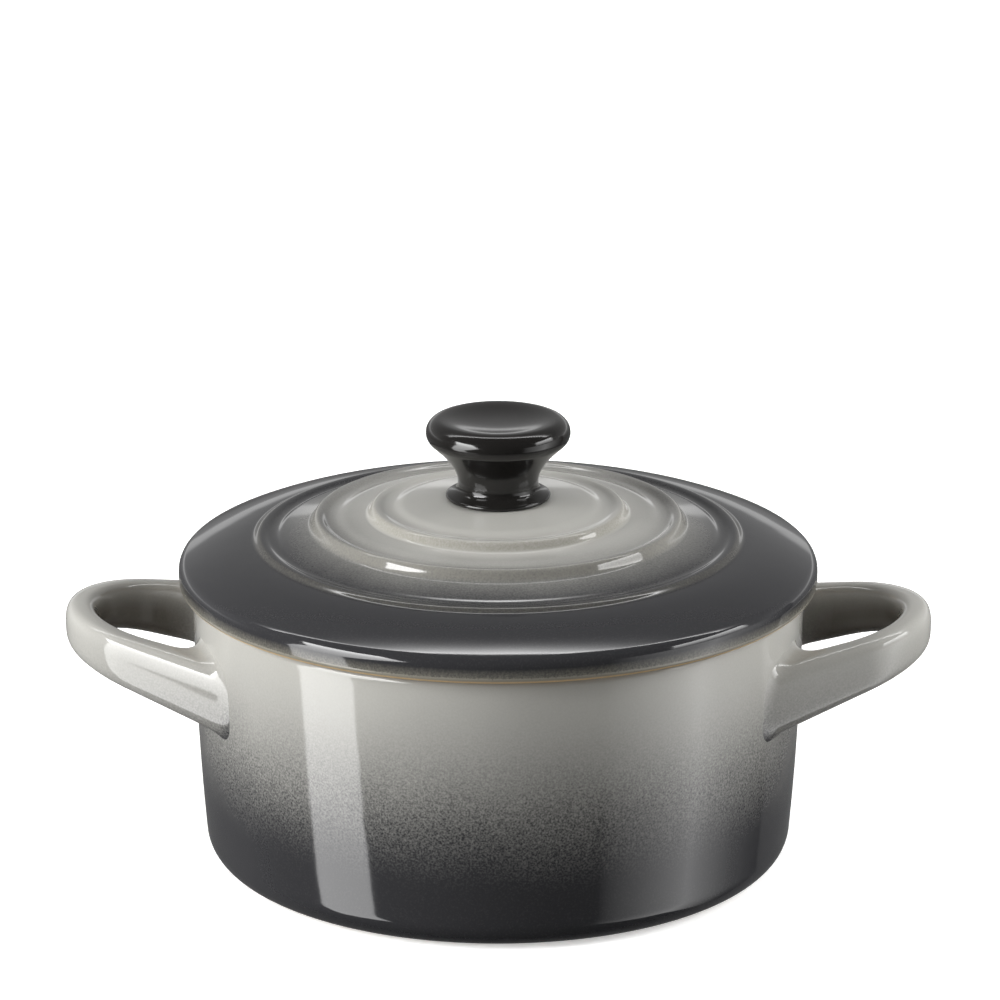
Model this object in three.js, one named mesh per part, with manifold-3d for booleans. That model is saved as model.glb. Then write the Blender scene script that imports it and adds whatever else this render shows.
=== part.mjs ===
// Mini cocotte: a small glazed stoneware pot with two loop handles, and a ringed lid whose turned
// knob is held from below by a screw. Millimetres, +Z up. The origin is the middle of the foot ring,
// on the surface that the pot stands on, and the handles point along +X and -X.

import * as THREE from 'three';
import { mergeVertices } from 'three/addons/utils/BufferGeometryUtils.js';
import Module from 'manifold-3d';

// Pot
const POT_RIM_RADIUS = 50; // outside of the wall at the rim
const POT_HEIGHT = 46.1; // from the foot to the top of the rim
const POT_WALL = 5;
const POT_DRAFT = 1.7; // how far the wall draws in from the rim to the base corner
const POT_RIM_ROUND = 1.2;
const POT_BASE_CORNER = 5; // radius between the wall and the base
const POT_FLOOR = 6;
const POT_FLOOR_CORNER = 8; // radius between the floor and the wall, inside
const FOOT_RING_WIDTH = 5;
const FOOT_RING_DEPTH = 1.2;
const FOOT_RING_SLOPE = 1.5; // how far the ring's inner side leans

// Loop handles, one strap each, bent round in plan and tapering in height towards the tip
const HANDLE_PROJECTION = 21.1; // from the rim's radius to the tip
const HANDLE_NOSE_RADIUS = 18.7; // outside of the round end, in plan
const HANDLE_OUTER_SWEEP = THREE.MathUtils.degToRad(65); // half the angle of the round end, outside
const HANDLE_INNER_SWEEP = THREE.MathUtils.degToRad(74); // inside, so that the arms thicken to the wall
const HANDLE_THICKNESS = 5.1; // of the round end
const HANDLE_ROOT_TALL = 11.3;
const HANDLE_TIP_TALL = 6.7;
const HANDLE_ROOT_BELOW_RIM = 12.7; // rim top down to the middle of the strap at the wall
const HANDLE_TIP_BELOW_RIM = 6.2;
const HANDLE_SECTION_POWER = 3; // superellipse power: 2 is an ellipse, higher is squarer
const HANDLE_FOOT_POWER = 6; // the same, where the strap meets the wall
const HANDLE_BLEND_RUN_OUTER = 2; // how far along the strap the blend into the wall begins, outside
const HANDLE_BLEND_RUN_INNER = 8.5; // inside the loop
const HANDLE_BLEND_OUTER = 1.2; // how far the blend spreads along the wall, outside the loop
const HANDLE_BLEND_INNER = 6.5; // inside the loop
const HANDLE_EDGE_OUTER = 0.4; // how far it spreads up and down the wall, outside the loop
const HANDLE_EDGE_INNER = 3.2; // inside the loop
const HANDLE_BLEND_SINK = 0.6; // how far under the wall's surface the blend ends
const HANDLE_END_SINK = 1.7; // how far in the wall the strap itself ends

// Lid
const LID_PLAY = 0.25; // between the lid's seat and the rim
const LID_OVERHANG = 2.4; // edge beyond the pot's rim
const LID_RISE = 14.3; // seat up to the flat under the knob
const LID_THICKNESS = 5; // at the knob
const LID_EDGE_ROUND = 1.2; // under the edge
const LID_SHOULDER_ROUND = 2.1; // over the edge
const LID_BRIM_INNER_SLOPE = THREE.MathUtils.degToRad(6); // beside the outer ring
const LID_BRIM_OUTER_SLOPE = THREE.MathUtils.degToRad(25.5); // beside the shoulder
const LID_KNOB_SEAT = 9.2; // radius of the flat under the knob
const LID_SCREW_SEAT = 8; // radius of the flat round the screw, below
const LID_UNDER_CROWN = 0.4; // drop of the underside's curve from the screw seat, near its middle
const LID_FLANGE_PLAY = 1.2; // between the flange and the inside of the rim
const LID_FLANGE_DEPTH = 3.5;
const LID_FLANGE_WIDTH = 3.4;
const LID_FLANGE_ROUND = 1;

// Three raised rings on the lid: how far each crest lies inside the pot's rim radius and below the flat
// under the knob, the depth of the groove inside the crest, how far in from the crest and how high above
// the groove the terrace turns down into it, and the drop of the step outside the crest
const RINGS = [
  { inside: 30, below: 1.2, groove: 0.25, brink: 5, rise: 0.65, step: 1.5 },
  { inside: 20.6, below: 2.7, groove: 0.65, brink: 5, rise: 0.5, step: 2 },
  { inside: 11.3, below: 5.9, groove: 0.3, brink: 3.6, rise: 0.5, step: 0.8 },
];
const RING_GROOVE_REACH = 1.9; // from a crest in to the bottom of its groove
const RING_STEP_WIDTH = 1.85; // from a crest out to the foot of its step

// Knob, heights above its foot
const KNOB_FOOT_RADIUS = 8.55;
const KNOB_FOOT_TALL = 0.9;
const KNOB_FOOT_ROUND = 0.4;
const KNOB_WAIST_RADIUS = 6.6;
const KNOB_WAIST_HEIGHT = 2.75;
const KNOB_LIP_RADIUS = 11.8;
const KNOB_LIP_ROUND = 2.35;
const KNOB_LIP_FLARE = THREE.MathUtils.degToRad(48); // how far under the lip's round the neck joins it
const KNOB_NECK_PULL = 0.29; // how strongly the neck follows the lip's flare, as a share of its reach
const KNOB_NECK_RISE = 0.44; // how strongly it stands upright over the waist, as a share of its height
const KNOB_HEIGHT = 13.4;
const KNOB_DISH = 0.8; // hollow of the top
const KNOB_DISH_BRINK = 0.8; // where the hollow begins and levels out, as shares of the lip's circle
const KNOB_DISH_FLAT = 0.6;

// Fastening, from the knob down: a bush in the knob, a screw, and two washers under the lid
const FIT_PLAY = 0.05; // between faces that are drawn up against each other
const THREAD_RADIUS = 2; // M4
const THREAD_PLAY = 0.1;
const INSERT_RADIUS = 3.4;
const INSERT_LENGTH = 8;
const INSERT_GROOVE_DEPTH = 0.5;
const INSERT_GROOVE_WIDTH = 2;
const KNOB_BORE_PLAY = 0.1; // between the knob's bore and the bush
const KNOB_BORE_SPARE = 1; // bore beyond the end of the bush
const SCREW_HOLE_PLAY = 0.6; // between the screw and the lid's hole
const SCREW_ENGAGEMENT = 6.5; // screw above the lid
const SCREW_CHAMFER = 0.5;
const SCREW_HEAD_RADIUS = 4;
const SCREW_HEAD_TALL = 2.6;
const SCREW_HEAD_ROUND = 1.4;
const SCREW_RECESS_WIDTH = 1;
const SCREW_RECESS_SPAN = 4.4;
const SCREW_RECESS_DEPTH = 1.5;
const WASHER_HOLE_PLAY = 0.3;
const SCREW_WASHER_RADIUS = 5.5;
const SCREW_WASHER_THICK = 0.8;
const SEAL_WASHER_RADIUS = 6.5;
const SEAL_WASHER_THICK = 1;

// Facets
const TURNS = 50; // sides of the pot and the lid
const KNOB_TURNS = 36;
const FASTENER_TURNS = 24;
const ARC_STEP = Math.PI / 8; // largest turn between two points on an arc of a profile
const CURVE_STEPS = 4; // steps on each other curve of a profile
const SECTION_STEPS = 16; // sides of the handles' strap
const NOSE_STEPS = 12;
const ARM_STEPS = 2;
const BLEND_STEPS = 4;
const WALL_PASSES = 4; // rounds taken to find where a strap line meets the curved wall
const WELD = 1e-4; // points closer than this are one

// Heights and radii that follow from the sizes above
const WALL_TOP = POT_HEIGHT - POT_RIM_ROUND;
const RIM_INSIDE = POT_RIM_RADIUS - POT_WALL;
const LID_SEAT = POT_HEIGHT + LID_PLAY;
const LID_TOP = LID_SEAT + LID_RISE;
const LID_RADIUS = POT_RIM_RADIUS + LID_OVERHANG;
const LID_UNDERSIDE = LID_TOP - LID_THICKNESS;
const KNOB_FOOT = LID_TOP + FIT_PLAY;
const INSERT_FOOT = KNOB_FOOT + FIT_PLAY;
const SEAL_TOP = LID_UNDERSIDE - FIT_PLAY;
const WASHER_TOP = SEAL_TOP - SEAL_WASHER_THICK - FIT_PLAY;
const SCREW_SEAT = WASHER_TOP - SCREW_WASHER_THICK - FIT_PLAY;
const WASHER_HOLE = THREAD_RADIUS + WASHER_HOLE_PLAY;

const wasm = await Module();
wasm.setup();

function stepsOf(curve) {
  if (curve.isLineCurve) return 1;
  if (!curve.isEllipseCurve) return CURVE_STEPS;
  return Math.ceil(Math.abs(curve.aEndAngle - curve.aStartAngle) / ARC_STEP);
}

// Turns an outline of radius and height round the Z axis.
function turned(outline, sides) {
  const points = [outline.curves[0].getPoint(0)];
  for (const curve of outline.curves) {
    points.push(...curve.getPoints(stepsOf(curve)).slice(1));
  }
  return new THREE.LatheGeometry(points, sides).rotateX(Math.PI / 2);
}

// The solid that a closed geometry bounds.
function solidOf(geometry) {
  const bare = new THREE.BufferGeometry();
  bare.setAttribute('position', geometry.getAttribute('position'));
  bare.setIndex(geometry.getIndex());
  const merged = mergeVertices(bare, WELD);
  return new wasm.Manifold(new wasm.Mesh({
    numProp: 3,
    vertProperties: merged.getAttribute('position').array,
    triVerts: new Uint32Array(merged.getIndex().array),
  }));
}

function geometryOf(solid) {
  const mesh = solid.getMesh();
  const geometry = new THREE.BufferGeometry();
  geometry.setAttribute('position', new THREE.BufferAttribute(mesh.vertProperties, 3));
  geometry.setIndex(new THREE.BufferAttribute(mesh.triVerts, 1));
  geometry.computeVertexNormals();
  return geometry;
}

// The wall stands upright at the rim and draws in towards the base as a parabola.
function wallInset(z) {
  const share = (WALL_TOP - z) / (WALL_TOP - POT_BASE_CORNER);
  return POT_DRAFT * share * share;
}

function wallLean(z) {
  const tall = WALL_TOP - POT_BASE_CORNER;
  return Math.atan(2 * POT_DRAFT * (WALL_TOP - z) / (tall * tall));
}

function potProfile() {
  const baseLean = wallLean(POT_BASE_CORNER);
  const baseRadius = POT_RIM_RADIUS - wallInset(POT_BASE_CORNER);
  const footRadius = baseRadius - POT_BASE_CORNER / Math.cos(baseLean);
  const footInside = footRadius - FOOT_RING_WIDTH;
  const floorTurn = POT_FLOOR + POT_FLOOR_CORNER;
  const floorLean = wallLean(floorTurn);
  const floorWall = RIM_INSIDE - wallInset(floorTurn);
  const floorRadius = floorWall - POT_FLOOR_CORNER / Math.cos(floorLean);

  const outline = new THREE.Path();
  outline.moveTo(0, FOOT_RING_DEPTH);
  outline.lineTo(footInside - FOOT_RING_SLOPE, FOOT_RING_DEPTH);
  outline.lineTo(footInside, 0);
  outline.lineTo(footRadius, 0);
  outline.absarc(footRadius, POT_BASE_CORNER, POT_BASE_CORNER, -Math.PI / 2, -baseLean);
  outline.lineTo(baseRadius, POT_BASE_CORNER);
  outline.quadraticCurveTo(POT_RIM_RADIUS, (POT_BASE_CORNER + WALL_TOP) / 2, POT_RIM_RADIUS, WALL_TOP);
  outline.absarc(POT_RIM_RADIUS - POT_RIM_ROUND, WALL_TOP, POT_RIM_ROUND, 0, Math.PI / 2);
  outline.absarc(RIM_INSIDE + POT_RIM_ROUND, WALL_TOP, POT_RIM_ROUND, Math.PI / 2, Math.PI);
  outline.quadraticCurveTo(RIM_INSIDE, (floorTurn + WALL_TOP) / 2, floorWall, floorTurn);
  outline.absarc(floorRadius, floorTurn, POT_FLOOR_CORNER, -floorLean, -Math.PI / 2, true);
  outline.lineTo(0, POT_FLOOR);
  return outline;
}

// The strap's section in unit sizes: across runs from inside the loop to outside it, up is height.
function strapSection(step, power) {
  const turn = 2 * Math.PI * step / SECTION_STEPS;
  const bend = (value) => Math.sign(value) * Math.abs(value) ** (2 / power);
  return { across: bend(Math.cos(turn)), up: bend(Math.sin(turn)) };
}

// Where a straight line in plan first comes to the wall, as a distance along it.
function reachOfWall(start, run, radius) {
  const along = start.x * run.x + start.y * run.y;
  const length = run.x * run.x + run.y * run.y;
  const beyond = start.x * start.x + start.y * start.y - radius * radius;
  return (-along - Math.sqrt(along * along - length * beyond)) / length;
}

// Rings of points along one loop, from the root at -Y round the nose to the root at +Y. The nose is
// an arc in plan, and each line of the strap leaves it at its own angle and runs straight on to the
// wall, where it turns on to the wall in a quadratic curve, as pressed-on clay does.
function handleRings() {
  const tip = POT_RIM_RADIUS + HANDLE_PROJECTION;
  const noseCentre = tip - HANDLE_NOSE_RADIUS;
  const middle = HANDLE_NOSE_RADIUS - HANDLE_THICKNESS / 2;
  const between = (inner, outer, across) => THREE.MathUtils.lerp(inner, outer, (1 + across) / 2);
  const sweepOf = (across) => between(HANDLE_INNER_SWEEP, HANDLE_OUTER_SWEEP, across);
  const spineX = (turn) => noseCentre + middle * Math.cos(turn);
  const runOf = (sweep) => new THREE.Vector2(-Math.sin(sweep), Math.cos(sweep));
  const spineEnd = new THREE.Vector2(spineX(sweepOf(0)), middle * Math.sin(sweepOf(0)));
  const spineRun = runOf(sweepOf(0));
  const rootX = spineEnd.x + spineRun.x * reachOfWall(spineEnd, spineRun, POT_RIM_RADIUS);
  const shareOf = (x) => (x - rootX) / (tip - rootX);
  const heightAt = (x, up) => {
    const below = THREE.MathUtils.lerp(HANDLE_ROOT_BELOW_RIM, HANDLE_TIP_BELOW_RIM, shareOf(x));
    const tall = THREE.MathUtils.lerp(HANDLE_ROOT_TALL, HANDLE_TIP_TALL, shareOf(x));
    return POT_HEIGHT - below + up * tall / 2;
  };
  const sections = Array.from(
    { length: SECTION_STEPS },
    (_, step) => strapSection(step, HANDLE_SECTION_POWER),
  );

  // A point on the nose, from -1 at one end of the strap line's sweep to 1 at the other.
  const nosePoint = (along, { across, up }) => {
    const turn = along * sweepOf(across);
    const reach = middle + across * HANDLE_THICKNESS / 2;
    return new THREE.Vector3(
      noseCentre + reach * Math.cos(turn),
      reach * Math.sin(turn),
      heightAt(spineX(turn), up),
    );
  };

  // Where a line of the strap starts at the end of the nose, how it runs and where it meets the wall.
  const armPath = ({ across, up }) => {
    const start = nosePoint(1, { across, up });
    const plan = runOf(sweepOf(across));
    const leaves = spineX(sweepOf(across));
    const climb = heightAt(leaves + plan.x, up) - heightAt(leaves, up);
    const run = new THREE.Vector3(plan.x, plan.y, climb);
    let wall = POT_RIM_RADIUS;
    let meets = start;
    for (let pass = 0; pass < WALL_PASSES; pass += 1) {
      meets = start.clone().addScaledVector(run, reachOfWall(start, run, wall));
      wall = POT_RIM_RADIUS - wallInset(meets.z);
    }
    return { start, run, meets };
  };

  // One line of the strap from the end of the nose down the arm and on to its place in the root.
  const armLine = (section, step) => {
    const { start, run, meets } = armPath(section);
    const foot = strapSection(step, HANDLE_FOOT_POWER);
    const root = armPath(foot).meets;
    const spread = foot.across * (foot.across > 0 ? HANDLE_BLEND_OUTER : HANDLE_BLEND_INNER);
    const turn = Math.atan2(root.y, root.x) + spread / POT_RIM_RADIUS;
    const endZ = root.z + foot.up * between(HANDLE_EDGE_INNER, HANDLE_EDGE_OUTER, foot.across);
    const onWall = (depth) => {
      const radius = POT_RIM_RADIUS - wallInset(endZ) - depth;
      return new THREE.Vector3(radius * Math.cos(turn), radius * Math.sin(turn), endZ);
    };
    const back = between(HANDLE_BLEND_RUN_INNER, HANDLE_BLEND_RUN_OUTER, section.across);
    const begins = meets.clone().addScaledVector(run, -back);
    const blend = new THREE.QuadraticBezierCurve3(begins, meets, onWall(HANDLE_BLEND_SINK));
    const line = [];
    for (let part = 1; part <= ARM_STEPS; part += 1) {
      line.push(start.clone().lerp(begins, part / ARM_STEPS));
    }
    for (let part = 1; part <= BLEND_STEPS; part += 1) {
      line.push(blend.getPoint(part / BLEND_STEPS));
    }
    line.push(onWall(HANDLE_END_SINK));
    return line;
  };

  const arms = sections.map(armLine);
  const arm = arms[0].map((_, step) => arms.map((line) => line[step]));
  const mirrored = arm.map((ring) => ring.map((point) => new THREE.Vector3(point.x, -point.y, point.z)));
  const nose = Array.from({ length: NOSE_STEPS + 1 }, (_, step) => {
    const along = 2 * step / NOSE_STEPS - 1;
    return sections.map((section) => nosePoint(along, section));
  });
  return [...mirrored.reverse(), ...nose, ...arm];
}

// A closed skin over rings that all have the same number of points, with a fan at each end.
function loft(rings) {
  const count = rings[0].length;
  const points = rings.flat();
  const faces = [];
  for (let ring = 0; ring + 1 < rings.length; ring += 1) {
    for (let step = 0; step < count; step += 1) {
      const next = (step + 1) % count;
      const a = ring * count + step;
      const b = ring * count + next;
      faces.push(a, a + count, b, b, a + count, b + count);
    }
  }
  for (const [ring, start] of [[rings[0], 0], [rings.at(-1), points.length - count]]) {
    const middle = points.length;
    const sum = ring.reduce((total, point) => total.add(point), new THREE.Vector3());
    points.push(sum.divideScalar(count));
    for (let step = 0; step < count; step += 1) {
      const next = (step + 1) % count;
      const fan = start === 0 ? [start + step, start + next] : [start + next, start + step];
      faces.push(middle, ...fan);
    }
  }
  const geometry = new THREE.BufferGeometry().setFromPoints(points);
  geometry.setIndex(faces);
  return geometry;
}

function potGeometry() {
  const handle = loft(handleRings());
  const opposite = handle.clone().rotateZ(Math.PI);
  const body = solidOf(turned(potProfile(), TURNS));
  return geometryOf(body.add(solidOf(handle)).add(solidOf(opposite)));
}

// Carries an outline on to a point in an S-curve that is level at both ends.
function easeTo(outline, radius, height) {
  const { x, y } = outline.currentPoint;
  const halfway = (x + radius) / 2;
  outline.bezierCurveTo(halfway, y, halfway, height, radius, height);
}

function lidProfile() {
  const hole = THREAD_RADIUS + SCREW_HOLE_PLAY;
  const flangeOutside = RIM_INSIDE - LID_FLANGE_PLAY;
  const flangeInside = flangeOutside - LID_FLANGE_WIDTH;
  const flangeFoot = LID_SEAT - LID_FLANGE_DEPTH;
  const outer = RINGS.at(-1);
  const brimStart = POT_RIM_RADIUS - outer.inside + RING_STEP_WIDTH;
  const brimHeight = LID_TOP - outer.below - outer.step;
  const shoulderRadius = LID_RADIUS - LID_SHOULDER_ROUND;
  const brimEnd = shoulderRadius + LID_SHOULDER_ROUND * Math.sin(LID_BRIM_OUTER_SLOPE);
  const brimHalf = (brimEnd - brimStart) / 2;
  const brimTurn = brimHeight - brimHalf * Math.tan(LID_BRIM_INNER_SLOPE);
  const brimFoot = brimTurn - brimHalf * Math.tan(LID_BRIM_OUTER_SLOPE);
  const shoulderHeight = brimFoot - LID_SHOULDER_ROUND * Math.cos(LID_BRIM_OUTER_SLOPE);

  const outline = new THREE.Path();
  outline.moveTo(hole, LID_UNDERSIDE);
  outline.lineTo(LID_SCREW_SEAT, LID_UNDERSIDE);
  outline.quadraticCurveTo(
    (LID_SCREW_SEAT + flangeInside) / 2,
    LID_UNDERSIDE - LID_UNDER_CROWN,
    flangeInside,
    LID_SEAT + LID_FLANGE_ROUND,
  );
  outline.lineTo(flangeInside, flangeFoot + LID_FLANGE_ROUND);
  outline.absarc(
    flangeInside + LID_FLANGE_ROUND,
    flangeFoot + LID_FLANGE_ROUND,
    LID_FLANGE_ROUND,
    Math.PI,
    1.5 * Math.PI,
  );
  outline.absarc(
    flangeOutside - LID_FLANGE_ROUND,
    flangeFoot + LID_FLANGE_ROUND,
    LID_FLANGE_ROUND,
    -Math.PI / 2,
    0,
  );
  outline.lineTo(flangeOutside, LID_SEAT);
  outline.absarc(LID_RADIUS - LID_EDGE_ROUND, LID_SEAT + LID_EDGE_ROUND, LID_EDGE_ROUND, -Math.PI / 2, 0);
  outline.absarc(shoulderRadius, shoulderHeight, LID_SHOULDER_ROUND, 0, Math.PI / 2 - LID_BRIM_OUTER_SLOPE);
  outline.quadraticCurveTo(brimStart + brimHalf, brimTurn, brimStart, brimHeight);
  for (const { inside, below, groove, brink, rise, step } of RINGS.toReversed()) {
    const radius = POT_RIM_RADIUS - inside;
    const crest = LID_TOP - below;
    const hollow = crest - groove;
    if (inside !== outer.inside) outline.lineTo(radius + RING_STEP_WIDTH, crest - step);
    easeTo(outline, radius, crest);
    easeTo(outline, radius - RING_GROOVE_REACH, hollow);
    easeTo(outline, radius - brink, hollow + rise);
  }
  outline.lineTo(LID_KNOB_SEAT, LID_TOP);
  outline.lineTo(hole, LID_TOP);
  outline.lineTo(hole, LID_UNDERSIDE);
  return outline;
}

function knobProfile() {
  const bore = INSERT_RADIUS + KNOB_BORE_PLAY;
  const boreEnd = INSERT_FOOT + INSERT_LENGTH + KNOB_BORE_SPARE;
  const footTop = KNOB_FOOT + KNOB_FOOT_TALL;
  const waist = KNOB_FOOT + KNOB_WAIST_HEIGHT;
  const lipCentre = KNOB_LIP_RADIUS - KNOB_LIP_ROUND;
  const lipHeight = KNOB_FOOT + KNOB_HEIGHT - KNOB_LIP_ROUND;
  const joinRadius = lipCentre + KNOB_LIP_ROUND * Math.cos(KNOB_LIP_FLARE);
  const joinHeight = lipHeight - KNOB_LIP_ROUND * Math.sin(KNOB_LIP_FLARE);
  const neck = (joinHeight - waist) * KNOB_NECK_RISE;
  const pull = (joinRadius - KNOB_WAIST_RADIUS) * KNOB_NECK_PULL;

  const outline = new THREE.Path();
  outline.moveTo(0, boreEnd);
  outline.lineTo(bore, boreEnd);
  outline.lineTo(bore, KNOB_FOOT);
  outline.lineTo(KNOB_FOOT_RADIUS - KNOB_FOOT_ROUND, KNOB_FOOT);
  outline.lineTo(KNOB_FOOT_RADIUS, KNOB_FOOT + KNOB_FOOT_ROUND);
  outline.lineTo(KNOB_FOOT_RADIUS - KNOB_FOOT_ROUND, footTop);
  outline.bezierCurveTo(
    KNOB_WAIST_RADIUS, footTop + KNOB_FOOT_ROUND,
    KNOB_WAIST_RADIUS, (footTop + waist) / 2,
    KNOB_WAIST_RADIUS, waist,
  );
  outline.bezierCurveTo(
    KNOB_WAIST_RADIUS, waist + neck,
    joinRadius - pull * Math.sin(KNOB_LIP_FLARE), joinHeight - pull * Math.cos(KNOB_LIP_FLARE),
    joinRadius, joinHeight,
  );
  outline.absarc(lipCentre, lipHeight, KNOB_LIP_ROUND, -KNOB_LIP_FLARE, Math.PI / 2);
  outline.bezierCurveTo(
    lipCentre * KNOB_DISH_BRINK, KNOB_FOOT + KNOB_HEIGHT,
    lipCentre * KNOB_DISH_FLAT, KNOB_FOOT + KNOB_HEIGHT - KNOB_DISH,
    0, KNOB_FOOT + KNOB_HEIGHT - KNOB_DISH,
  );
  return outline;
}

function insertProfile() {
  const bore = THREAD_RADIUS + THREAD_PLAY;
  const end = INSERT_FOOT + INSERT_LENGTH;
  const grooveFoot = (INSERT_FOOT + end - INSERT_GROOVE_WIDTH) / 2;
  const grooveRadius = INSERT_RADIUS - INSERT_GROOVE_DEPTH;
  const outline = new THREE.Path();
  outline.moveTo(bore, INSERT_FOOT);
  outline.lineTo(INSERT_RADIUS, INSERT_FOOT);
  outline.lineTo(INSERT_RADIUS, grooveFoot);
  outline.lineTo(grooveRadius, grooveFoot);
  outline.lineTo(grooveRadius, grooveFoot + INSERT_GROOVE_WIDTH);
  outline.lineTo(INSERT_RADIUS, grooveFoot + INSERT_GROOVE_WIDTH);
  outline.lineTo(INSERT_RADIUS, end);
  outline.lineTo(bore, end);
  outline.lineTo(bore, INSERT_FOOT);
  return outline;
}

function screwProfile() {
  const headFoot = SCREW_SEAT - SCREW_HEAD_TALL;
  const end = LID_TOP + SCREW_ENGAGEMENT;
  const outline = new THREE.Path();
  outline.moveTo(0, headFoot);
  outline.lineTo(SCREW_HEAD_RADIUS - SCREW_HEAD_ROUND, headFoot);
  outline.absarc(
    SCREW_HEAD_RADIUS - SCREW_HEAD_ROUND,
    headFoot + SCREW_HEAD_ROUND,
    SCREW_HEAD_ROUND,
    -Math.PI / 2,
    0,
  );
  outline.lineTo(SCREW_HEAD_RADIUS, SCREW_SEAT);
  outline.lineTo(THREAD_RADIUS, SCREW_SEAT);
  outline.lineTo(THREAD_RADIUS, end - SCREW_CHAMFER);
  outline.lineTo(THREAD_RADIUS - SCREW_CHAMFER, end);
  outline.lineTo(0, end);
  return outline;
}

// A pan head screw, head down, with a cross recess for the driver.
function screwGeometry() {
  const slot = new THREE.BoxGeometry(SCREW_RECESS_SPAN, SCREW_RECESS_WIDTH, 2 * SCREW_RECESS_DEPTH);
  slot.translate(0, 0, SCREW_SEAT - SCREW_HEAD_TALL);
  const across = slot.clone().rotateZ(Math.PI / 2);
  const screw = solidOf(turned(screwProfile(), FASTENER_TURNS));
  return geometryOf(screw.subtract(solidOf(slot)).subtract(solidOf(across)));
}

function washerGeometry(radius, top, thick) {
  const outline = new THREE.Path();
  outline.moveTo(WASHER_HOLE, top - thick);
  outline.lineTo(radius, top - thick);
  outline.lineTo(radius, top);
  outline.lineTo(WASHER_HOLE, top);
  outline.lineTo(WASHER_HOLE, top - thick);
  return turned(outline, FASTENER_TURNS);
}

const warmGreyGlaze = new THREE.MeshStandardMaterial({ color: 0x98978f, roughness: 0.15 });
const darkGreyGlaze = new THREE.MeshStandardMaterial({ color: 0x5f5f62, roughness: 0.15 });
const blackPhenolic = new THREE.MeshStandardMaterial({ color: 0x111113, roughness: 0.12 });
const brass = new THREE.MeshStandardMaterial({ color: 0xb08d4a, roughness: 0.35, metalness: 1 });
const stainless = new THREE.MeshStandardMaterial({ color: 0xb9bbbd, roughness: 0.3, metalness: 1 });
const silicone = new THREE.MeshStandardMaterial({ color: 0x3a3a3a, roughness: 0.7 });

function part(name, geometry, material) {
  const mesh = new THREE.Mesh(geometry, material);
  mesh.name = name;
  return mesh;
}

const sealWasher = washerGeometry(SEAL_WASHER_RADIUS, SEAL_TOP, SEAL_WASHER_THICK);
const screwWasher = washerGeometry(SCREW_WASHER_RADIUS, WASHER_TOP, SCREW_WASHER_THICK);

const lidGroup = new THREE.Group();
lidGroup.add(part('lid', turned(lidProfile(), TURNS), darkGreyGlaze));
lidGroup.add(part('knob', turned(knobProfile(), KNOB_TURNS), blackPhenolic));
lidGroup.add(part('knob_insert', turned(insertProfile(), FASTENER_TURNS), brass));
lidGroup.add(part('knob_screw', screwGeometry(), stainless));
lidGroup.add(part('screw_washer', screwWasher, stainless));
lidGroup.add(part('seal_washer', sealWasher, silicone));

const cocotte = new THREE.Group();
cocotte.add(part('pot', potGeometry(), warmGreyGlaze));
cocotte.add(lidGroup);

export default cocotte;
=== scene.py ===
"""Mini cocotte: a glazed stoneware pot, its ringed lid and its turned knob.

Every piece is a surface worked out on a grid, in metres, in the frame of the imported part.
"""

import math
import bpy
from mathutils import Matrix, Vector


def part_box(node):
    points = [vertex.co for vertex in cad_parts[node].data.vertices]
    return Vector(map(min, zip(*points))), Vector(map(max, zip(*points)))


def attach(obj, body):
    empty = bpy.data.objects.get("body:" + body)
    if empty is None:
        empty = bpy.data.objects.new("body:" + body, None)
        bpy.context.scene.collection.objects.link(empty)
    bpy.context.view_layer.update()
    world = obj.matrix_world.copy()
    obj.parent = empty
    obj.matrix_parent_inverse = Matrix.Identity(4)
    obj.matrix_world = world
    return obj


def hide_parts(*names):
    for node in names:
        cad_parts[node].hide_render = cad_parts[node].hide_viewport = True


bl_info = {
    "name": "Mini Cocotte",
    "version": (1, 0, 0),
    "blender": (4, 5, 0),
    "location": "View3D > Sidebar > Cocotte",
    "description": "Builds the glazed pot, the ringed lid and the knob of a mini cocotte on its packed frame",
    "category": "Add Mesh",
}

import bpy
import numpy as np
from bpy.props import FloatProperty, FloatVectorProperty, PointerProperty
from mathutils import Vector

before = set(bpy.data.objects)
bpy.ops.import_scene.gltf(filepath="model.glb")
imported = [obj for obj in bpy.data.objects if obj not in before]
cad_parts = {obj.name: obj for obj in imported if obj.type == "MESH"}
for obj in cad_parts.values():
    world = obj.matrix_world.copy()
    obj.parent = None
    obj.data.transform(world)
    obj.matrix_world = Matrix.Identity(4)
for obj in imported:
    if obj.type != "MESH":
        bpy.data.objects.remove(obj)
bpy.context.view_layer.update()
POT_LOW, POT_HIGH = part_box("pot")
LID_LOW, LID_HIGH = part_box("lid")
KNOB_LOW, KNOB_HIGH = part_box("knob")
SCREW_LOW, SCREW_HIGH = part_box("knob_screw")
WASHER_LOW, WASHER_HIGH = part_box("screw_washer")
SEAL_LOW, SEAL_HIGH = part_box("seal_washer")

MM = 0.001

# Steps of the grids
TURNS = 256
FASTENER_TURNS = 96
ARC_STEPS = 12
CURVE_STEPS = 24
SECTION_STEPS = 64
NOSE_STEPS = 72
ARM_STEPS = 12
BLEND_STEPS = 20
WALL_PASSES = 4


# Settings

def length(name, description, size):
    """A length in metres."""
    return FloatProperty(name=name, description=description, default=size, unit="LENGTH", precision=5)


def lengths(name, description, *sizes):
    """A length in metres for each of the lid's rings, from the inner to the outer one."""
    return FloatVectorProperty(
        name=name, description=description, default=sizes, size=len(sizes), unit="LENGTH", precision=5
    )


def angle(name, description, degrees):
    """An angle, given in degrees and kept in radians."""
    return FloatProperty(
        name=name, description=description, default=math.radians(degrees), subtype="ANGLE"
    )


def share(name, description, value):
    """A plain number."""
    return FloatProperty(name=name, description=description, default=value, precision=3)


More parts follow.
